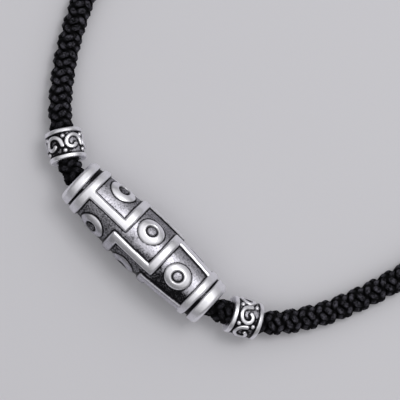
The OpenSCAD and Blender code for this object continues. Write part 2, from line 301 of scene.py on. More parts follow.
def arc_distance(x, y, cx, cy, radius, from_deg, to_deg):
    """Distance to the middle of an arc that runs between two angles."""
    px, py = x - cx, y - cy
    middle = math.radians((from_deg + to_deg) / 2)
    half = math.radians((to_deg - from_deg) / 2)
    off = np.abs(wrapped(np.arctan2(py, px) - middle))
    ends = [math.radians(e) for e in (from_deg, to_deg)]
    tips = [np.hypot(px - radius * math.cos(e), py - radius * math.sin(e)) for e in ends]
    return np.where(off < half, np.abs(np.hypot(px, py) - radius), np.minimum(*tips))


def wrapped(a):
    """An angle brought to within half a turn of 0."""
    return (a + math.pi) % TURN - math.pi


def ripple(x, a, wave, seed):
    """Slow unevenness of about -1 to 1 over a bead, the same each run and closed round it."""
    waves, most_turns = 12, 7
    rng = np.random.default_rng(seed)
    out = np.zeros(np.broadcast(x, a).shape)
    for _ in range(waves):
        along = rng.normal() / wave
        turns = rng.integers(-most_turns, most_turns + 1)
        out += np.sin(TURN * x * along + turns * a + rng.uniform(0, TURN))
    return out / waves ** 0.5 / 2


def unevenness(x, a, ripples):
    """Sum of ripples over a bead, each with its depth, wavelength and seed."""
    return sum(depth * ripple(x, a, wave, seed) for depth, wave, seed in ripples)


def raised_profile(d, wall, crown):
    """Height share of raised work at a distance from its edge: a wall, then a rounded shoulder."""
    fullness = 2.4
    t = np.clip((wall - d) / (wall + crown), 0, 1)
    return 1 - (1 - t) ** fullness


def unit(v):
    """Vectors scaled to length 1."""
    return v / np.linalg.norm(v, axis=-1, keepdims=True)


def spline(points, step):
    """Smooth line through points, sampled at even steps of about the given length."""
    parts = 24
    p = np.asarray(points, float)
    chord = np.concatenate([[0], np.cumsum(np.linalg.norm(np.diff(p, axis=0), axis=1) ** 0.5)])
    tangent = np.gradient(p, chord, axis=0)
    u = np.linspace(0, 1, parts + 1)[:-1, None]
    out = []
    for i in range(len(p) - 1):
        h = chord[i + 1] - chord[i]
        out.append(
            (2 * u ** 3 - 3 * u ** 2 + 1) * p[i] + (u ** 3 - 2 * u ** 2 + u) * h * tangent[i]
            + (3 * u ** 2 - 2 * u ** 3) * p[i + 1] + (u ** 3 - u ** 2) * h * tangent[i + 1]
        )
    fine = np.concatenate(out + [p[-1:]])
    far = np.concatenate([[0], np.cumsum(np.linalg.norm(np.diff(fine, axis=0), axis=1))])
    even = np.linspace(0, far[-1], int(far[-1] / step) + 1)
    return np.stack([np.interp(even, far, fine[:, k]) for k in range(3)], -1), even


# Mesh objects


def new_object(name, data):
    """An object that is linked to the scene."""
    made = bpy.data.objects.new(name, data)
    bpy.context.scene.collection.objects.link(made)
    return made


def make_object(name, points, faces, values, finish, matrix=None):
    """A smooth mesh object with float attributes and a finish, riding on the necklace's body."""
    mesh = bpy.data.meshes.new(name)
    mesh.from_pydata(points.tolist(), [], faces.tolist())
    mesh.polygons.foreach_set("use_smooth", np.ones(len(mesh.polygons), bool))
    for key, numbers in values.items():
        data = mesh.attributes.new(key, "FLOAT", "POINT").data
        data.foreach_set("value", np.ascontiguousarray(numbers, np.float32).ravel())
    mesh.materials.append(finish)
    if matrix is not None:
        mesh.transform(matrix)
    whole = bmesh.new()
    whole.from_mesh(mesh)
    bmesh.ops.holes_fill(whole, edges=whole.edges, sides=0)
    whole.to_mesh(mesh)
    whole.free()
    mesh.validate()
    mesh.update()
    piece = new_object(name, mesh)
    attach(piece, "root")
    return piece


def ring_faces(rows, around, closed):
    """Quads between neighbouring rings, and from the last ring back to the first if closed."""
    i = np.arange(rows if closed else rows - 1)[:, None]
    k = np.arange(around)[None, :]
    j, n = (i + 1) % rows, (k + 1) % around
    quads = np.stack([i * around + k, i * around + n, j * around + n, j * around + k], -1)
    return quads.reshape(-1, 4)


def turned_points(x, a, r):
    """Points of a body turned about X, at their places, angles and radii."""
    return np.stack([x, -r * np.sin(a), r * np.cos(a)], -1).reshape(-1, 3)


# Beads


def arc_radius(half, fall):
    """Radius of an arc that falls by a length over half of its chord."""
    return (half * half + fall * fall) / (2 * fall)


def bore_diameter(settings):
    """Diameter of each bore and socket that the braid runs into."""
    return settings.braid.diameter + 2 * BORE_GAP * MM


def bead_profile(length, mid_d, fall, edge_r, bore_r, rows):
    """Place, radius and share of relief of each row, from one bore edge of a bead to the other."""
    half = length / 2
    inner = half - edge_r
    arc_r = arc_radius(half, fall)
    bore_edge = 0.2 * MM
    bore_rows, face_rows, edge_rows = 4, 5, 7

    def barrel(x):
        return mid_d / 2 - arc_r + np.sqrt(arc_r ** 2 - x ** 2)

    bore_turn = np.linspace(0, QUARTER, bore_rows)
    face_r = np.linspace(bore_r + bore_edge, mid_d / 2 - fall - edge_r, face_rows + 2)[1:-1]
    edge_turn = np.linspace(0, QUARTER, edge_rows + 1)[:-1]
    edge_x = -inner - edge_r * np.cos(edge_turn)
    end_x = np.concatenate([
        -half + bore_edge * (1 - np.sin(bore_turn)),
        np.full(face_rows, -half),
        edge_x,
    ])
    end_r = np.concatenate([
        bore_r + bore_edge * (1 - np.cos(bore_turn)),
        face_r,
        barrel(edge_x) - edge_r * (1 - np.sin(edge_turn)),
    ])
    surface_x = np.linspace(-inner, inner, rows)
    flat = np.zeros(len(end_x))
    return (
        np.concatenate([end_x, surface_x, -end_x[::-1]]),
        np.concatenate([end_r, barrel(surface_x), end_r[::-1]]),
        np.concatenate([flat, np.ones(rows), flat]),
    )


def bead(name, s, bore_d, grid, relief, finish, matrix, turn=0.0, shade=0.0):
    """A bead with relief on its surface, as one closed mesh."""
    rows, around = grid
    places, radii, shares = bead_profile(s.length, s.mid_d, s.fall, s.edge_r, bore_d / 2, rows)
    x, a = np.meshgrid(places, np.linspace(0, TURN, around, endpoint=False), indexing="ij")
    r = np.repeat(radii[:, None], around, 1)
    relief_share = shares[:, None]
    height, masks = relief(s, x / MM, a - s.spread * np.sin(a + turn), r / MM)
    # Masks for painted shade: they grow towards the bead's front, -Y, where shade falls.
    masks["turn"] = np.sin(a + turn) + shade
    masks["down"] = np.sin(a + turn) - shade
    masks = {key: value * relief_share for key, value in masks.items()}
    points = turned_points(x, a, r + height * MM * relief_share)
    return make_object(name, points, ring_faces(len(places), around, True), masks, finish, matrix)


def panel_pitch(panel_x, line_w):
    """Distance between two of the three panels, which lie with two lines between both bands."""
    return (2 * panel_x - 2 * line_w) / 3 + line_w


def dzi_axis_z(s):
    """Height of the dzi bead's axis, where it rests on the turns of its lines."""
    half = s.length / 2
    arc_r = arc_radius(half, s.fall)
    panel_x = half - s.rim_w - s.groove_w - s.band_w
    rest_x = panel_pitch(panel_x, s.line_w) / 2 - s.line_w / 2
    return s.mid_d / 2 - arc_r + math.sqrt(arc_r ** 2 - rest_x ** 2)


def groove_depth(x, a, groove_w, groove_x, drift):
    """How far a point lies inside a groove, negative outside. The width varies round the bead."""
    left_uneven, right_uneven, right_narrower = 0.5, 0.45, 0.12
    right_drift = 0.6 * drift
    left, right = -left_uneven * np.sin(a), right_uneven * np.sin(a) - right_narrower
    half_w = groove_w / 2 * (1 + np.where(x < 0, left, right))
    return half_w - np.abs(np.abs(x + right_drift * (x > 0)) - groove_x)


def line_distance(x, a, r, line_w, panel_x, left_x, right_x):
    """Distance to the stepped lines, negative inside. Each turns round the bead at two places."""
    corner = 0.3
    into_band = 1
    w = line_w / 2
    out = np.full(x.shape, FAR)
    for k in range(LINES):
        for x0, x1, a0, a1 in (
            (-panel_x - into_band, left_x + w, 0, 0),
            (left_x - w, left_x + w, -QUARTER, 0),
            (left_x - w, right_x + w, -QUARTER, -QUARTER),
            (right_x - w, right_x + w, -2 * QUARTER, -QUARTER),
            (right_x - w, panel_x + into_band, -2 * QUARTER, -2 * QUARTER),
        ):
            middle = (a0 + a1) / 2 + k * TURN / LINES
            v = wrapped(a - middle) * r
            reach = (a1 - a0) / 2 * r + w
            out = np.minimum(out, box_distance(x, v, x0, x1, -reach, reach, corner))
    return out


def eye_relief(s, along, across, phase):
    """Height of one eye, distance to its edge, and masks of its hollow and of the disc in this."""
    line_h, eye_r, pupil_r, disc_r = mm(s.line_h, s.eye_d / 2, s.pupil_d / 2, s.disc_d / 2)
    fall_along, fall_across, rise, depth, disc_h = mm(
        s.eye_fall_along, s.eye_fall_across, s.eye_rise, s.pupil_depth, s.disc_h
    )
    wall, crown = 0.06, 0.35
    out_of_round = 0.03
    dip, dip_w = 0.1, 0.35
    soft, disc_soft = 0.1, 0.12
    rho = np.hypot(along, across) + out_of_round * np.sin(2 * np.arctan2(across, along) + phase)
    dome = rise - fall_along * (along / eye_r) ** 2 - fall_across * (across / eye_r) ** 2
    dome -= dip * smooth(pupil_r + dip_w, pupil_r, rho)
    hollow = smooth(pupil_r + soft, pupil_r - soft, rho)
    disc = smooth(disc_r + soft, disc_r - disc_soft, rho)
    dome = dome * (1 - hollow) + hollow * (rise - depth + disc_h * disc)
    beyond = rho - eye_r
    return -line_h + (dome + line_h) * raised_profile(beyond, wall, crown), beyond, hollow, disc


def eyes(s, x, a, r, pitch):
    """Height of all eyes, distance to the nearest, and masks of their hollows and discs."""
    foot_w = 0.4
    drift = 0.8 * s.drift / MM
    height = np.full(x.shape, -FAR)
    gap = np.full(x.shape, FAR)
    hollows, discs = np.zeros(x.shape), np.zeros(x.shape)
    for row, eye_angles in EYE_ROWS:
        along = x - row * pitch + (0 if row < 0 else drift)
        for k, eye_a in enumerate(eye_angles):
            off = wrapped(a - math.radians(eye_a))
            across = np.where(np.abs(off) < QUARTER, r * np.sin(off), FAR)
            phase = 3 * k + row
            eye, beyond, hollow, disc = eye_relief(s, along, across, phase)
            near = beyond < foot_w
            height = np.where(near, np.maximum(height, eye), height)
            gap = np.where(near, beyond, np.minimum(gap, np.maximum(beyond, 0)))
            hollows = np.maximum(hollows, hollow * near)
            discs = np.maximum(discs, disc * near)
    return height, gap, hollows, discs


def dzi_relief(s, x, a, r):
    """Relief of the dzi bead below its barrel surface, in millimetres, with its masks."""
    length, rim_w, groove_w, band_w, line_w, line_h, drift = mm(
        s.length, s.rim_w, s.groove_w, s.band_w, s.line_w, s.line_h, s.drift
    )
    wall, crown, fillet = 0.12, 0.55, 0.35
    rim_x = length / 2 - rim_w
    band_x = rim_x - groove_w
    panel_x = band_x - band_w
    pitch = panel_pitch(panel_x, line_w)
    left_x, right_x = -pitch / 2, pitch / 2 - drift

    groove = groove_depth(x, a, groove_w, (rim_x + band_x) / 2, drift)
    ends = np.maximum(groove, panel_x - np.abs(x))
    lines = line_distance(x, a, r, line_w, panel_x, left_x, right_x)
    raised = soft_min(lines, ends, fillet) + unevenness(x, a, DZI_EDGES)
    lines_height = -line_h * (1 - raised_profile(raised, wall, crown))
    eyes_height, gap, hollows, discs = eyes(s, x, a, r, pitch)
    height = np.maximum(lines_height, eyes_height) + unevenness(x, a, DZI_SKIN)

    ground_edge, foot_edge, groove_edge = (-0.12, 0.08), (0.42, 0.05), (-0.1, 0.06)
    eye_side_level, eye_side_reach = 0.4, (0.6, 3.2)
    eye_side_x = (right_x + 0.5, right_x + 3)
    plain_x = (panel_x - 0.3, panel_x + 0.5)
    disc_clean = 0.85
    groove_dark, groove_darker = 0.85, 0.15
    d = np.minimum(raised, gap)
    ground = smooth(*ground_edge, d)
    # Ground darker beside each eye of the right panel, on its side towards the bead's front.
    below_eye = wrapped(LINES * a) / LINES * r
    eye_side_dark = eye_side_level * smooth(*eye_side_reach, below_eye) * smooth(*eye_side_x, x) * ground
    foot = np.maximum(smooth(*foot_edge, d) * ground, eye_side_dark)
    # Patina in the grooves, with painted shade added towards the bead's front.
    in_groove = smooth(*groove_edge, groove) * (groove_dark + groove_darker * np.sin(a))
    recesses = np.maximum(hollows * (1 - disc_clean * discs), in_groove)
    masks = {
        "ground": np.maximum(ground, discs),
        "foot": np.maximum(foot, recesses),
        "plain": smooth(*plain_x, np.abs(x)),
    }
    return height, masks


def scroll_distance(s, x, y):
    """Distance to the middle of a scroll's stroke: a straight tail, a wide turn and a curl."""
    scroll_r, curl_r, tail_len = mm(s.scroll_r, s.curl_r, s.tail_len)
    tail_a, join_a, tip_a = 102, 271, 421
    join = math.radians(join_a)
    curl_x, curl_y = (scroll_r - curl_r) * math.cos(join), (scroll_r - curl_r) * math.sin(join)
    turns = np.minimum(
        arc_distance(x, y, 0, 0, scroll_r, tail_a, join_a),
        arc_distance(x, y, curl_x, curl_y, curl_r, join_a, tip_a),
    )
    tail = math.radians(tail_a)
    tail_x, tail_y = scroll_r * math.cos(tail), scroll_r * math.sin(tail)
    way_x, way_y = math.sin(tail), -math.cos(tail)
    t = np.clip((x - tail_x) * way_x + (y - tail_y) * way_y, 0, tail_len)
    return np.minimum(turns, np.hypot(x - tail_x - t * way_x, y - tail_y - t * way_y))


def spacer_relief(s, x, a, r):
    """Relief of a spacer bead below its barrel surface, in millimetres, with its masks."""
    length, rim_w, scroll_h, scroll_w, dot_d, dot_x = mm(
        s.length, s.rim_w, s.scroll_h, s.scroll_w, s.dot_d, s.dot_offset
    )
    stroke_shape, dot_shape = (0.08, 0.22), (0.06, 0.36)
    ground_edge, foot_edge = (-0.08, 0.1), (0.7, 0.05)
    sector = TURN / SCROLLS
    off = (a + sector / 2) % sector - sector / 2
    scrolls = scroll_distance(s, x, -r * np.sin(off)) - scroll_w / 2
    dots = np.hypot(np.abs(x) - dot_x, r * (np.abs(off) - sector / 2)) - dot_d / 2
    rims = length / 2 - rim_w - np.abs(x)
    strokes = np.minimum(scrolls, rims) + unevenness(x, a, SPACER_EDGES)
    raised = np.maximum(raised_profile(strokes, *stroke_shape), raised_profile(dots, *dot_shape))
    d = np.minimum(strokes, dots)
    ground = smooth(*ground_edge, d)
    masks = {
        "ground": ground,
        "foot": smooth(*foot_edge, d) * ground,
    }
    return -scroll_h * (1 - raised), masks


def spacer_places(settings):
    """Middle and string direction of both spacer beads, in metres from the dzi bead's place."""
    s, dzi, braid = settings.spacer_beads, settings.dzi_bead, settings.braid
    height = dzi_axis_z(dzi) - s.drop
    places = []
    for side, yaw, slope, beside in (
        (-1, s.left_yaw, s.left_slope, s.left_beside), (1, s.right_yaw, s.right_slope, s.right_beside)
    ):
        reach = dzi.length / 2 + braid.bare + s.length / 2 * math.cos(slope) * math.cos(yaw)
        centre = np.array([side * reach, beside, height])
        heading = np.array([
            math.cos(yaw) * math.cos(slope), side * math.sin(yaw) * math.cos(slope), -side * math.sin(slope)
        ])
        places.append((centre, heading))
    return places


# Clasp and braid


def clasp_place():
    """Middle of the clasp from the dzi bead's place, and half its length, in metres."""
    low, high = (np.array(corner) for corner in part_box("clasp"))
    return (low + high) / 2 - DZI_PLACE, (high - low)[0] / 2


def clasp_profile(half, collar_r, socket_r):
    """Rows of the clasp's left half, as place and radius, from its socket's floor to its middle."""
    floor_r = 0.01
    mouth_edge = 0.2
    face_rows = (0.2, 0.3, 0.4)
    collar_len, collar_edge, collar_rows = 2.2, 0.6, 7
    shoulder_w, shoulder_h, shoulder_from, shoulder_rows = 0.2, 0.15, 0.3, 4
    waist_depth, waist_rows = 0.3, 12
    foot = ((0.05, 0.06), (0.15, 0))
    clear = 0.5
    left = -half
    collar_x = left + collar_len
    shoulder_x = collar_x - shoulder_w
    waist_r = collar_r - waist_depth
    return [
        (left + SOCKET_DEPTH, floor_r),
        (left + SOCKET_DEPTH, socket_r),
        (left + mouth_edge, socket_r),
        *((left, socket_r + out) for out in face_rows),
        *(
            (left + collar_edge * (1 - math.cos(t)), collar_r - collar_edge + collar_edge * math.sin(t))
            for t in np.linspace(0, QUARTER, collar_rows)
        ),
        (collar_x - clear, collar_r),
        (shoulder_x, collar_r),
        *(
            (shoulder_x + shoulder_w * math.sin(t), collar_r - shoulder_h * (1 - math.cos(t)))
            for t in np.linspace(shoulder_from, QUARTER, shoulder_rows)
        ),
        *((collar_x + along, waist_r + out) for along, out in foot),
        *((x, waist_r) for x in np.linspace(collar_x + clear, 0, waist_rows)),
    ]


def clasp_mesh(bore_d, finish):
    """The clasp's barrel with rounded collars and a socket in each end, as one closed mesh."""
    around = 96
    waist_edge = (0.05, 0.25)
    low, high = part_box("clasp")
    half, collar_r = mm((high - low).x / 2, (high - low).z / 2)
    rows = clasp_profile(half, collar_r, bore_d / 2 / MM)
    rows += [(-x, r) for x, r in rows[-2::-1]]
    profile = np.array(rows) * MM
    x = np.repeat(profile[:, :1], around, 1)
    a = np.linspace(0, TURN, around, endpoint=False)
    waist = np.repeat(smooth(*waist_edge, (collar_r - profile[:, 1] / MM))[:, None], around, 1)
    return make_object(
        "clasp_barrel", turned_points(x, a, profile[:, 1:]), ring_faces(len(profile), around, False),
        {"waist": waist}, finish, Matrix.Translation((low + high) / 2),
    )


def braid_line(settings):
    """The braid's middle line between both sockets of the clasp, in metres from the dzi bead's place."""
    s, dzi = settings.spacer_beads, settings.dzi_bead
    lead = LEAD_IN * MM
    lift = settings.braid.diameter / 2
    clasp, half = clasp_place()
    end = half - (SOCKET_DEPTH - SOCKET_GAP) * MM
    left = [clasp + [-end, 0, 0], clasp + [-half - lead, 0, 0]]
    right = [clasp + [half + lead, 0, 0], clasp + [end, 0, 0]]
    mirrored = [(-x, y, z) for x, y, z in reversed(BACK_LAY)]
    lay = [
        [[x * MM, y * MM, z * MM + lift] for x, y, z in rows]
        for rows in (BACK_LAY + LEFT_LAY, RIGHT_LAY + mirrored)
    ]
    runs = [
        [centre + heading * k * (s.length / 2 + lead) for k in (-1, 0, 1)]
        for centre, heading in spacer_places(settings)
    ]
    axis_z = dzi_axis_z(dzi)
    through = [[k * (dzi.length / 2 + lead), 0, axis_z] for k in (-1, -0.5, 0, 0.5, 1)]
    return [*left, *lay[0], *runs[0], *through, *runs[1], *lay[1], *right]


def outside_holds(settings, line, width):
    """1 along the bare braid, falling over a width to 0 where a bead or the clasp holds it."""
    dzi, spacer = settings.dzi_bead, settings.spacer_beads
    holds = [(np.array([0, 0, dzi_axis_z(dzi)]), dzi.length / 2)]
    holds += [(centre, spacer.length / 2) for centre, _ in spacer_places(settings)]
    holds.append(clasp_place())
    free = np.ones(len(line))
    for centre, half in holds:
        reach = np.linalg.norm(line - centre - DZI_PLACE, axis=1) - half
        free = np.minimum(free, smooth(0, width, reach))
    return free


class BraidCourse:
    """The braid's middle line in even steps, and what its yarns follow at each step."""

    def __init__(self, settings):
        s = settings.braid
        hold_w, shade_w = 0.8 * MM, 4.5 * MM
        middle = (0.45, 0.55)
        self.line, self.far = spline(braid_line(settings), s.lay / s.pairs / STEPS_A_CROSSING)
        self.line += DZI_PLACE
        tangent = unit(np.gradient(self.line, axis=0))
        self.side = unit(np.cross(tangent, np.array([0, 0, 1.0])))
        self.lift = np.cross(self.side, tangent)
        self.share = self.far / self.far[-1]
        self.left_half = 1 - smooth(*middle, self.share)
        self.place = self.far - self.far[-1] / 2 + s.start
        # Painted shade along the braid: 1 on open braid, falling to 0 near each bead and the clasp.
        self.unshaded = outside_holds(settings, self.line, shade_w)
        free = outside_holds(settings, self.line, hold_w)
        self.reach = s.diameter / 2 + s.proud * free
        self.swell = s.swell * np.cos(TURN * s.pairs * self.place / s.lay) * free


def yarn_line(s, course, way, strand, beside):
    """Middle line of one yarn, with its run, its outward direction and how far its tops reach."""
    z = course.place - beside * s.yarn_lead / 2
    beat = TURN * s.pairs * z / s.lay
    theta = way * (TURN * z / s.lay - beside * s.yarn_spread / 2) + TURN * strand / s.pairs
    theta += s.steep / s.pairs * np.sin(beat) + s.twist * (course.share - 0.5)
    under = (0.5 - 0.5 * way * np.cos(beat)) ** s.crest
    inner = (0.5 - 0.5 * np.sin(theta)) * course.left_half
    top = course.reach + course.swell * (1 - s.calm * inner)
    radius = top - s.yarn_t / 2 - s.swing * under
    out = np.cos(theta)[:, None] * course.lift + np.sin(theta)[:, None] * course.side
    core = course.line + radius[:, None] * out
    run = unit(np.gradient(core, axis=0))
    out = unit(out - run * np.sum(out * run, axis=1, keepdims=True))
    return core, run, out, top


def braid_mesh(s, course, way, name, finish):
    """The yarns of the braid that turn one way round it, two in each strand."""
    steps = len(course.far)
    around = np.linspace(0, TURN, YARN_SIDES, endpoint=False)
    points, faces, values = [], [], {"along": [], "round": [], "depth": [], "unshaded": []}
    for strand in range(s.pairs):
        for beside in (-1, 1):
            core, run, out, top = yarn_line(s, course, way, strand, beside)
            wide = np.cross(run, out)
            ring = core[:, None] + (
                s.yarn_t / 2 * np.cos(around)[None, :, None] * out[:, None]
                + s.yarn_w / 2 * np.sin(around)[None, :, None] * wide[:, None]
            )
            ring[..., 2] = np.maximum(ring[..., 2], 0)
            depth = np.linalg.norm(ring - course.line[:, None], axis=2) / top[:, None]
            faces.append(ring_faces(steps, YARN_SIDES, False) + len(faces) * steps * YARN_SIDES)
            points.append(ring.reshape(-1, 3))
            values["along"].append(np.repeat(course.far / MM, YARN_SIDES))
            values["round"].append(np.tile(np.linspace(0, 1, YARN_SIDES), steps))
            values["depth"].append(depth.ravel())
            values["unshaded"].append(np.repeat(course.unshaded, YARN_SIDES))
    return make_object(
        name, np.concatenate(points), np.concatenate(faces),
        {key: np.concatenate(parts) for key, parts in values.items()}, finish,
    )


# Finishes


class Value:
    """A socket of a finish. Operators on it add Math nodes."""

    def __init__(self, finish, socket):
        self.finish = finish
        self.socket = socket

    def maths(self, operation, *numbers):
        """The result of an operation on numbers and values."""
        return self.finish.node("ShaderNodeMath", {"operation": operation}, dict(enumerate(numbers)))

    def __add__(self, other):
        return self.maths("ADD", self, other)

    def __sub__(self, other):
        return self.maths("SUBTRACT", self, other)

    def __rsub__(self, other):
        return self.maths("SUBTRACT", other, self)

    def __mul__(self, other):
        return self.maths("MULTIPLY", self, other)

    __radd__ = __add__

    def clamped(self):
        """The number held between 0 and 1."""
        return self.finish.node("ShaderNodeClamp", {}, {0: self, 1: 0.0, 2: 1.0})

    def sine(self):
        """The sine of the number, taken as an angle."""
        return self.maths("SINE", self)


class Finish:
    """A material or the light around the scene, built from expressions and nodes."""

    def __init__(self, holder):
        self.holder = holder
        holder.use_nodes = True
        self.tree = holder.node_tree
        self.tree.nodes.clear()

    def node(self, kind, settings=None, sockets=None, output=0):
        """Adds a node: its settings first, then the values or links of its sockets."""
        made = self.tree.nodes.new(kind)
        for key, value in (settings or {}).items():
            setattr(made, key, value)
        for key, value in (sockets or {}).items():
            if isinstance(value, Value):
                self.tree.links.new(value.socket, made.inputs[key])
            else:
                made.inputs[key].default_value = value
        return Value(self, made.outputs[output]) if made.outputs else None

    def attribute(self, name):
        """A number kept on the mesh."""
        return self.node("ShaderNodeAttribute", {"attribute_name": name}, output="Fac")

    def noise(self, scale, detail, roughness, stretch=None):
        """Noise from 0 to 1 over the surface, with as many grains a metre as its scale."""
        where = self.node("ShaderNodeTexCoord", output="Object")
        if stretch:
            where = self.node("ShaderNodeMapping", {}, {"Vector": where, "Scale": stretch})
        return self.node(
            "ShaderNodeTexNoise", {},
            {"Vector": where, "Scale": scale, "Detail": detail, "Roughness": roughness},
        )

    def steps(self, value, low, high):
        """Smooth step from 0 at low to 1 at high."""
        return self.node(
            "ShaderNodeMapRange", {"interpolation_type": "SMOOTHSTEP"}, {0: value, 1: low, 2: high}
        )

    def along(self, way, direction):
        """How much a direction of view points along another one."""
        return self.node(
            "ShaderNodeVectorMath", {"operation": "DOT_PRODUCT"}, {0: way, 1: direction}, output="Value"
        )

    def blend(self, factor, first, second):
        """Colour that goes from the first to the second."""
        first, second = (c if isinstance(c, Value) else (*c, 1) for c in (first, second))
        return self.node(
            "ShaderNodeMix", {"data_type": "RGBA", "clamp_factor": True},
            {0: factor, 6: first, 7: second}, output=2,
        )

    def bump(self, height, distance, strength):
        """A normal that follows a height, up to a distance in metres."""
        return self.node(
            "ShaderNodeBump", {}, {"Height": height, "Distance": distance, "Strength": strength}
        )

    def surface(self, **sockets):
        """Ends the finish in a Principled shader with these sockets."""
        named = {key.replace("_", " ").title().replace("Ior", "IOR"): v for key, v in sockets.items()}
        shader = self.node("ShaderNodeBsdfPrincipled", {}, named)
        self.node("ShaderNodeOutputMaterial", {}, {0: shader})
        return self.holder


def antiqued_silver(name, s):
    """Silver rubbed bright on the raised work, dull on the ground and darkened at its foot.

    The masks turn and down grow towards a bead's front, which is its -Y side. The ground gets painted
    shade at front and back, with real spots of patina over it, and raised work gets painted shade at
    the front, less on plain bands, and darkest along the front's outline.
    """
    front, back, raised_shade_span, outline = (0.0, 0.28), (-0.1, -0.95), (0.35, 0.9), (0.88, 1.0)
    ragged, plain_less_shade = 0.4, 0.75
    front_shade, back_shade, grain_spots, patch_spots = 0.62, 0.58, 2.2, 0.9
    foot_dark, low_dark, edge_dark = 1.05, 0.6, 0.5
    ground_dull, fine_dull, low_dull = 0.95, 0.6, 0.9
    f = Finish(bpy.data.materials.new(name))
    ground, foot, turn, down, plain = (
        f.attribute(key) for key in ("ground", "foot", "turn", "down", "plain")
    )
    grain = f.noise(scale=3000, detail=3, roughness=0.7)
    fine = f.noise(scale=2400, detail=3, roughness=0.55)
    smear = f.noise(scale=900, detail=3, roughness=0.6)
    patch = f.noise(scale=420, detail=3, roughness=0.6) - 0.5

    # Painted shade on the ground at the bead's front and back, made ragged by the patch noise; the grain
    # and patch noise add real spots of patina.
    side = turn + patch * ragged
    painted_side_shade = f.steps(side, *front) * front_shade + f.steps(side, *back) * back_shade
    spots_and_shade = ground * (painted_side_shade + (grain - 0.5) * grain_spots + patch * patch_spots)
    # Painted shade on the raised work at the bead's front, lighter on the plain bands and rims.
    low = f.steps(down + patch * ragged, *raised_shade_span) * (1 - plain * plain_less_shade)
    # Painted shade along the front's outline: a darker reflection of the shadowed floor beside the bead.
    edge = f.steps(down, *outline) * (1 - plain)
    dark = foot * foot_dark + spots_and_shade + low * (fine - 0.25) * low_dark
    dark = (dark + edge * (fine + 0.1) * edge_dark).clamped()
    # Duller silver on the ground and at random, plus painted shade on the front's raised work.
    dull = (ground * ground_dull + (fine - 0.5) * fine_dull + low * low_dull).clamped()
    silver = f.blend(dull, tuple(s.bright), tuple(s.ground))
    height = fine * 0.4 + smear * 0.6 + grain * ground * 1.5
    return f.surface(
        base_color=f.blend(dark, silver, tuple(s.dark)),
        metallic=1 - dark * 0.15,
        roughness=(0.3 + (smear - 0.5) * 0.16 + ground * 0.08 + dark * 0.1 + plain * 0.12).clamped(),
        normal=f.bump(height, distance=0.00006, strength=0.7),
    )


def black_braid(name, s):
    """Black yarns with fine filaments, with painted shade: dark in the hollows between the yarns
    and near the beads and clasp, palest on the yarns' tops.
    """
    ply_count, ply_twist = 5, 4.2
    crest, fibre = (0.85, 1.0), (0.41, 0.6)
    # Painted shade: the light share of the yarns' tops where beads or the clasp hold them, and of the
    # hollows between yarns.
    held_light, hollow_light = 0.3, 0.03
    ply_light, least_light, fibre_light, uneven_light = 0.2, 0.1, 0.85, 3.2
    f = Finish(bpy.data.materials.new(name))
    along, turn, depth, unshaded = (f.attribute(key) for key in ("along", "round", "depth", "unshaded"))
    plies = ((turn * ply_count * TURN + along * ply_twist).sine() + 1) * 0.5
    fuzz = f.noise(scale=2400, detail=3, roughness=0.75)
    uneven = f.noise(scale=1100, detail=2, roughness=0.5) - 0.5
    # Painted shade: the yarns are lightest on their tops and dark in the hollows between them, more so near
    # the beads and clasp.
    high = f.steps(depth, *crest) * (held_light + unshaded * (1 - held_light))
    light = plies * ply_light + least_light + f.steps(fuzz, *fibre) * fibre_light
    show = (high * (light + uneven * uneven_light)).clamped()
    tint = tuple(s.tint)
    return f.surface(
        base_color=f.blend(show, tuple(c * hollow_light for c in tint), tint),
        roughness=(0.9 - high * 0.3 + (fuzz - 0.5) * 0.3).clamped(),
        specular_ior_level=0.08,
        normal=f.bump(plies * 0.4 + fuzz, distance=0.00012, strength=0.9),
    )


def clasp_silver(name, s):
    """Plain satin silver with fine turning marks and a little dulling on the waist."""
    f = Finish(bpy.data.materials.new(name))
    lines = f.noise(scale=600, detail=2, roughness=0.5, stretch=(12.0, 1.0, 1.0))
    smear = f.noise(scale=500, detail=3, roughness=0.6)
    dull = (f.attribute("waist") * 0.25 + (smear - 0.45) * 0.6).clamped()
    return f.surface(
        base_color=f.blend(dull, tuple(s.bright), tuple(s.ground)),
        metallic=1.0,
        roughness=(0.26 + (lines - 0.5) * 0.18 + smear * 0.08).clamped(),
        normal=f.bump(lines, distance=0.00003, strength=0.5),
    )


def floor_finish(s):
    """Pale, plain, matt floor with the faintest unevenness."""
    f = Finish(bpy.data.materials.new("pale_floor"))
    cloud = f.noise(scale=14, detail=2, roughness=0.5)
    dust = f.noise(scale=1500, detail=2, roughness=0.5)
    cloud_light = 0.985
    base = tuple(s.floor)
    return f.surface(
        base_color=f.blend(cloud, tuple(c * cloud_light for c in base), base),
        roughness=0.75,
        normal=f.bump(dust, distance=0.00002, strength=0.4),
    )


def studio_light(s):
    """Light from all round, brightest in one wide soft lobe overhead, and added to at the back."""
    f = Finish(bpy.data.worlds.new("studio"))
    way = f.node("ShaderNodeTexCoord", output="Generated")
    near = f.along(way, (0, math.sin(s.lobe_lean), math.cos(s.lobe_lean)))
    lobe = f.steps(near, math.cos(s.lobe_out), math.cos(s.lobe_in))
    back = f.steps(f.along(way, (0, 1, 0)), 0.2, 1.0)
    level = lobe * (s.lobe_level - s.dim_level) + back * s.back_level + s.dim_level
    shade = f.node("ShaderNodeBackground", {}, {"Color": (*s.light_tint, 1), "Strength": level})
    f.node("ShaderNodeOutputWorld", {}, {0: shade})
    return f.holder


# Operators


def shared(name, make, *args):
    """A finish that is made once."""
    return bpy.data.materials.get(name) or make(name, *args)


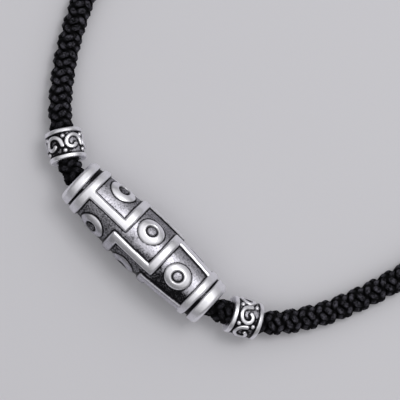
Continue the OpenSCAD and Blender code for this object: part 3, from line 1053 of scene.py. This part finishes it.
def bead_place(centre, yaw=0.0, slope=0.0, turn=0.0):
    """Matrix that puts a bead at its place on the braid."""
    moved = Matrix.Translation(Vector(centre) + Vector(DZI_PLACE))
    turned = Matrix.Rotation(yaw, 4, "Z") @ Matrix.Rotation(slope, 4, "Y") @ Matrix.Rotation(turn, 4, "X")
    return moved @ turned


class NECKLACE_OT_dzi_bead(bpy.types.Operator):
    """Make the dzi bead with its stepped lines, bands and eyes"""

    bl_idname = "necklace.dzi_bead"
    bl_label = "Dzi Bead"

    def execute(self, context):
        s = context.scene.necklace
        piece = bead(
            "dzi_bead_silver", s.dzi_bead, bore_diameter(s), DZI_GRID, dzi_relief,
            shared("worn_silver", antiqued_silver, s.silver),
            bead_place((0, 0, dzi_axis_z(s.dzi_bead))),
        )
        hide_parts("dzi_bead")
        return {"FINISHED"}


class NECKLACE_OT_spacer_beads(bpy.types.Operator):
    """Make both spacer beads with their scrolls, dots and rims"""

    bl_idname = "necklace.spacer_beads"
    bl_label = "Spacer Beads"

    def execute(self, context):
        s = context.scene.necklace
        lay = s.spacer_beads
        finish = shared("worn_silver", antiqued_silver, s.silver)
        (left, _), (right, _) = spacer_places(s)
        for node, centre, yaw, slope, turn in (
            ("spacer_bead_left", left, -lay.left_yaw, -lay.left_slope, lay.left_turn),
            ("spacer_bead_right", right, lay.right_yaw, lay.right_slope, lay.right_turn),
        ):
            piece = bead(
                node + "_silver", lay, bore_diameter(s), SPACER_GRID, spacer_relief, finish,
                bead_place(centre, yaw, slope, turn), turn, SPACER_SHADE,
            )
            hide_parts(node)
        return {"FINISHED"}


class NECKLACE_OT_braid(bpy.types.Operator):
    """Make the strands of the braid along its route"""

    bl_idname = "necklace.braid"
    bl_label = "Braid"

    def execute(self, context):
        s = context.scene.necklace
        finish = shared("black_strands", black_braid, s.braid)
        course = BraidCourse(s)
        for way, name in ((1, "braid_strands_right"), (-1, "braid_strands_left")):
            piece = braid_mesh(s.braid, course, way, name, finish)
            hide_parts("braid")
        return {"FINISHED"}


class NECKLACE_OT_clasp(bpy.types.Operator):
    """Make the clasp behind the neck"""

    bl_idname = "necklace.clasp"
    bl_label = "Clasp"

    def execute(self, context):
        s = context.scene.necklace
        piece = clasp_mesh(bore_diameter(s), shared("satin_silver", clasp_silver, s.silver))
        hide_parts("clasp")
        return {"FINISHED"}


def make_key_light(s):
    """The soft square light that casts the shadow."""
    place, aim = (Vector(DZI_PLACE) + Vector(point) for point in (KEY_AT, KEY_AIM))
    light = bpy.data.lights.new("key", "AREA")
    light.shape = "SQUARE"
    light.size = KEY_W
    light.energy = s.key_power
    lamp = new_object("key", light)
    lamp.location = place
    lamp.rotation_mode = "QUATERNION"
    lamp.rotation_quaternion = (aim - place).to_track_quat("-Z", "Y")


def make_floor(finish):
    """The wide floor that the necklace lies on."""
    corners = [(x * FLOOR_HALF, y * FLOOR_HALF, 0) for x, y in ((-1, -1), (1, -1), (1, 1), (-1, 1))]
    mesh = bpy.data.meshes.new("floor")
    mesh.from_pydata(corners, [], [(0, 1, 2, 3)])
    mesh.materials.append(finish)
    floor = new_object("floor", mesh)


def make_camera(s):
    """A camera that looks straight down at the beads."""
    data = bpy.data.cameras.new("camera")
    data.sensor_width = SENSOR_W
    data.lens = SENSOR_W * (s.distance - VIEW_Z * MM) / s.frame_w
    data.clip_start, data.clip_end = 0.01, 20
    camera = new_object("camera", data)
    place = Vector((VIEW_X * MM, (AXIS_Y + VIEW_Y) * MM, s.distance))
    camera.matrix_world = Matrix.Translation(place) @ Matrix.Rotation(s.view_turn, 4, "Z")
    return camera


class NECKLACE_OT_stage(bpy.types.Operator):
    """Set the floor, the soft light and the camera above the beads"""

    bl_idname = "necklace.stage"
    bl_label = "Stage"

    def execute(self, context):
        s = context.scene.necklace.stage
        scene = context.scene
        make_floor(floor_finish(s))
        scene.world = studio_light(s)
        make_key_light(s)
        scene.camera = make_camera(s)
        scene.view_settings.view_transform = "Standard"
        return {"FINISHED"}


class NECKLACE_PT_panel(bpy.types.Panel):
    """Lists the necklace's pieces"""

    bl_idname = "NECKLACE_PT_panel"
    bl_label = "Necklace"
    bl_space_type = "VIEW_3D"
    bl_region_type = "UI"
    bl_category = "Necklace"

    def draw(self, context):
        for piece in PIECES:
            self.layout.operator(piece.bl_idname)


class NecklaceSettings(bpy.types.PropertyGroup):
    """All settings of the necklace."""

    dzi_bead: group(DziBeadSettings, "Dzi bead")
    spacer_beads: group(SpacerBeadSettings, "Spacer beads")
    braid: group(BraidSettings, "Braid")
    silver: group(SilverSettings, "Silver")
    stage: group(StageSettings, "Stage")


PIECES = (
    NECKLACE_OT_dzi_bead,
    NECKLACE_OT_spacer_beads,
    NECKLACE_OT_braid,
    NECKLACE_OT_clasp,
    NECKLACE_OT_stage,
)
CLASSES = (
    DziBeadSettings,
    SpacerBeadSettings,
    BraidSettings,
    SilverSettings,
    StageSettings,
    NecklaceSettings,
    *PIECES,
    NECKLACE_PT_panel,
)


def register():
    for cls in CLASSES:
        bpy.utils.register_class(cls)
    bpy.types.Scene.necklace = group(NecklaceSettings, "Necklace")


def unregister():
    del bpy.types.Scene.necklace
    for cls in reversed(CLASSES):
        bpy.utils.unregister_class(cls)


def main():
    register()
    bpy.ops.necklace.dzi_bead()
    bpy.ops.necklace.spacer_beads()
    bpy.ops.necklace.braid()
    bpy.ops.necklace.clasp()
    bpy.ops.necklace.stage()


if __name__ == "__main__":
    main()
